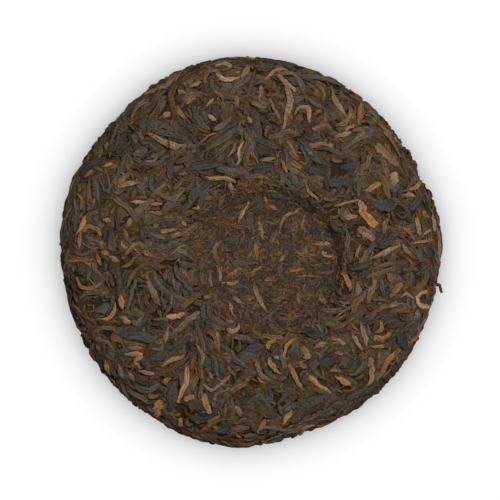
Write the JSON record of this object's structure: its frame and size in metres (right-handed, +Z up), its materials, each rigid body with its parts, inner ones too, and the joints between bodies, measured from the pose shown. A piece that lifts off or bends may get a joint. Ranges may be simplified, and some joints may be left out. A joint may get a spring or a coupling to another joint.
{
  "type": "pu erh tea cake",
  "caption": "Round, flat cake of compressed dark tea leaves, domed on its face, with a round dimple off the middle of its back and a rounded, slightly uneven rim",
  "frame": {"origin": "under the middle of the cake, on the plane that it rests on", "axes": "+Z up, through the cake's thickness, out of its dimpled back; +X towards the steep wall of the dimple; +Y to the left of that"},
  "size_m": [0.194, 0.1978, 0.0249],
  "materials": {
    "tea_leaf": "matte, wrinkled, dry"
  },
  "bodies": {
    "root": {"tea_cake": "tea_leaf"}
  },
  "joints": []
}
